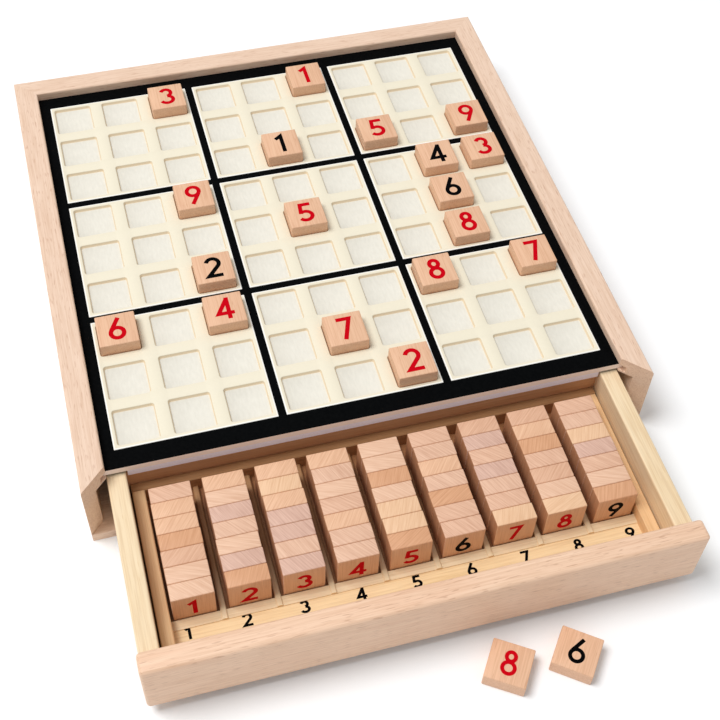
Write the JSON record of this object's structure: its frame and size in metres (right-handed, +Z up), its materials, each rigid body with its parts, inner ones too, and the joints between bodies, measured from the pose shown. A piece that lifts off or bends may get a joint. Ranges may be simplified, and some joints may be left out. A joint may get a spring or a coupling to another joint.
{
  "type": "sudoku board",
  "caption": "Wooden number-puzzle board: a mitred case holds a black panel of blocks of shallow cells with number tiles, over a sliding drawer of sorted spare tiles.",
  "frame": {"origin": "centre of the case's underside, where it rests on the table", "axes": "+X to the right, +Y from the drawer to the back of the case, +Z up"},
  "size_m": [0.306, 0.4549, 0.0479],
  "materials": {
    "case_wood": "smooth satin beech",
    "panel_wood": "plain plywood",
    "backing_white": "white-faced board",
    "black_panel": "satin black paint",
    "cell_block_cream": "cream paint, cells greyish white",
    "drawer_wood": "pale satin wood",
    "label_wood": "pale satin wood with printed numbers",
    "tile_wood": "smooth beech",
    "number_red": "red printed number",
    "number_black": "black printed number"
  },
  "bodies": {
    "case": {"left_rail": "case_wood", "right_rail": "case_wood", "back_rail": "case_wood", "base_panel": "panel_wood", "grid_frame": "black_panel", "backing_board": "backing_white", "cell_block_1": "cell_block_cream", "cell_block_2": "cell_block_cream", "cell_block_3": "cell_block_cream", "cell_block_4": "cell_block_cream", "cell_block_5": "cell_block_cream", "cell_block_6": "cell_block_cream", "cell_block_7": "cell_block_cream", "cell_block_8": "cell_block_cream", "cell_block_9": "cell_block_cream"},
    "drawer": {"drawer_front": "case_wood", "drawer_left_side": "drawer_wood", "drawer_right_side": "drawer_wood", "drawer_back": "drawer_wood", "drawer_floor": "panel_wood", "tray_left_rail": "drawer_wood", "tray_right_rail": "drawer_wood", "tray_back_rail": "drawer_wood", "tray_front_band": "drawer_wood", "label_strip": "label_wood", "tray_dividers": "drawer_wood"},
    "board_tile_r1_c3": {"tile_row1_column3_red_3": "tile_wood"},
    "board_tile_r1_c6": {"tile_row1_column6_red_1": "tile_wood"},
    "board_tile_r3_c5": {"tile_row3_column5_black_1": "tile_wood"},
    "board_tile_r3_c7": {"tile_row3_column7_red_5": "tile_wood"},
    "board_tile_r3_c9": {"tile_row3_column9_red_9": "tile_wood"},
    "board_tile_r4_c3": {"tile_row4_column3_red_9": "tile_wood"},
    "board_tile_r4_c8": {"tile_row4_column8_black_4": "tile_wood"},
    "board_tile_r4_c9": {"tile_row4_column9_red_3": "tile_wood"},
    "board_tile_r5_c5": {"tile_row5_column5_red_5": "tile_wood"},
    "board_tile_r5_c8": {"tile_row5_column8_black_6": "tile_wood"},
    "board_tile_r6_c3": {"tile_row6_column3_black_2": "tile_wood"},
    "board_tile_r6_c8": {"tile_row6_column8_red_8": "tile_wood"},
    "board_tile_r7_c1": {"tile_row7_column1_red_6": "tile_wood"},
    "board_tile_r7_c3": {"tile_row7_column3_red_4": "tile_wood"},
    "board_tile_r7_c7": {"tile_row7_column7_red_8": "tile_wood"},
    "board_tile_r7_c9": {"tile_row7_column9_red_7": "tile_wood"},
    "board_tile_r8_c5": {"tile_row8_column5_red_7": "tile_wood"},
    "board_tile_r9_c6": {"tile_row9_column6_red_2": "tile_wood"},
    "stack_1": {"spare_tiles_1": "tile_wood"},
    "stack_2": {"spare_tiles_2": "tile_wood"},
    "stack_3": {"spare_tiles_3": "tile_wood"},
    "stack_4": {"spare_tiles_4": "tile_wood"},
    "stack_5": {"spare_tiles_5": "tile_wood"},
    "stack_6": {"spare_tiles_6": "tile_wood"},
    "stack_7": {"spare_tiles_7": "tile_wood"},
    "stack_8": {"spare_tiles_8": "tile_wood"},
    "stack_9": {"spare_tiles_9": "tile_wood"},
    "loose_red_8": {"loose_tile_red_8": "tile_wood"},
    "loose_black_6": {"loose_tile_black_6": "tile_wood"}
  },
  "joints": [
    {"name": "drawer_slide", "type": "slide", "parent": "case", "child": "drawer", "axis": [0, -1, 0], "range_m": [-0.1, 0.007]},
    {"name": "lift_tile_r1_c3", "type": "slide", "parent": "case", "child": "board_tile_r1_c3", "axis": [0, 0, 1], "range_m": [0, 0.015]},
    {"name": "lift_tile_r1_c6", "type": "slide", "parent": "case", "child": "board_tile_r1_c6", "axis": [0, 0, 1], "range_m": [0, 0.015]},
    {"name": "lift_tile_r3_c5", "type": "slide", "parent": "case", "child": "board_tile_r3_c5", "axis": [0, 0, 1], "range_m": [0, 0.015]},
    {"name": "lift_tile_r3_c7", "type": "slide", "parent": "case", "child": "board_tile_r3_c7", "axis": [0, 0, 1], "range_m": [0, 0.015]},
    {"name": "lift_tile_r3_c9", "type": "slide", "parent": "case", "child": "board_tile_r3_c9", "axis": [0, 0, 1], "range_m": [0, 0.015]},
    {"name": "lift_tile_r4_c3", "type": "slide", "parent": "case", "child": "board_tile_r4_c3", "axis": [0, 0, 1], "range_m": [0, 0.015]},
    {"name": "lift_tile_r4_c8", "type": "slide", "parent": "case", "child": "board_tile_r4_c8", "axis": [0, 0, 1], "range_m": [0, 0.015]},
    {"name": "lift_tile_r4_c9", "type": "slide", "parent": "case", "child": "board_tile_r4_c9", "axis": [0, 0, 1], "range_m": [0, 0.015]},
    {"name": "lift_tile_r5_c5", "type": "slide", "parent": "case", "child": "board_tile_r5_c5", "axis": [0, 0, 1], "range_m": [0, 0.015]},
    {"name": "lift_tile_r5_c8", "type": "slide", "parent": "case", "child": "board_tile_r5_c8", "axis": [0, 0, 1], "range_m": [0, 0.015]},
    {"name": "lift_tile_r6_c3", "type": "slide", "parent": "case", "child": "board_tile_r6_c3", "axis": [0, 0, 1], "range_m": [0, 0.015]},
    {"name": "lift_tile_r6_c8", "type": "slide", "parent": "case", "child": "board_tile_r6_c8", "axis": [0, 0, 1], "range_m": [0, 0.015]},
    {"name": "lift_tile_r7_c1", "type": "slide", "parent": "case", "child": "board_tile_r7_c1", "axis": [0, 0, 1], "range_m": [0, 0.015]},
    {"name": "lift_tile_r7_c3", "type": "slide", "parent": "case", "child": "board_tile_r7_c3", "axis": [0, 0, 1], "range_m": [0, 0.015]},
    {"name": "lift_tile_r7_c7", "type": "slide", "parent": "case", "child": "board_tile_r7_c7", "axis": [0, 0, 1], "range_m": [0, 0.015]},
    {"name": "lift_tile_r7_c9", "type": "slide", "parent": "case", "child": "board_tile_r7_c9", "axis": [0, 0, 1], "range_m": [0, 0.015]},
    {"name": "lift_tile_r8_c5", "type": "slide", "parent": "case", "child": "board_tile_r8_c5", "axis": [0, 0, 1], "range_m": [0, 0.015]},
    {"name": "lift_tile_r9_c6", "type": "slide", "parent": "case", "child": "board_tile_r9_c6", "axis": [0, 0, 1], "range_m": [0, 0.015]},
    {"name": "lift_stack_1", "type": "slide", "parent": "drawer", "child": "stack_1", "axis": [0, 0, 1], "range_m": [0, 0.026]},
    {"name": "lift_stack_2", "type": "slide", "parent": "drawer", "child": "stack_2", "axis": [0, 0, 1], "range_m": [0, 0.026]},
    {"name": "lift_stack_3", "type": "slide", "parent": "drawer", "child": "stack_3", "axis": [0, 0, 1], "range_m": [0, 0.026]},
    {"name": "lift_stack_4", "type": "slide", "parent": "drawer", "child": "stack_4", "axis": [0, 0, 1], "range_m": [0, 0.026]},
    {"name": "lift_stack_5", "type": "slide", "parent": "drawer", "child": "stack_5", "axis": [0, 0, 1], "range_m": [0, 0.026]},
    {"name": "lift_stack_6", "type": "slide", "parent": "drawer", "child": "stack_6", "axis": [0, 0, 1], "range_m": [0, 0.026]},
    {"name": "lift_stack_7", "type": "slide", "parent": "drawer", "child": "stack_7", "axis": [0, 0, 1], "range_m": [0, 0.026]},
    {"name": "lift_stack_8", "type": "slide", "parent": "drawer", "child": "stack_8", "axis": [0, 0, 1], "range_m": [0, 0.026]},
    {"name": "lift_stack_9", "type": "slide", "parent": "drawer", "child": "stack_9", "axis": [0, 0, 1], "range_m": [0, 0.026]},
    {"name": "lift_loose_red_8", "type": "slide", "parent": "case", "child": "loose_red_8", "axis": [0, 0, 1], "range_m": [0, 0.015]},
    {"name": "lift_loose_black_6", "type": "slide", "parent": "case", "child": "loose_black_6", "axis": [0, 0, 1], "range_m": [0, 0.015]}
  ]
}
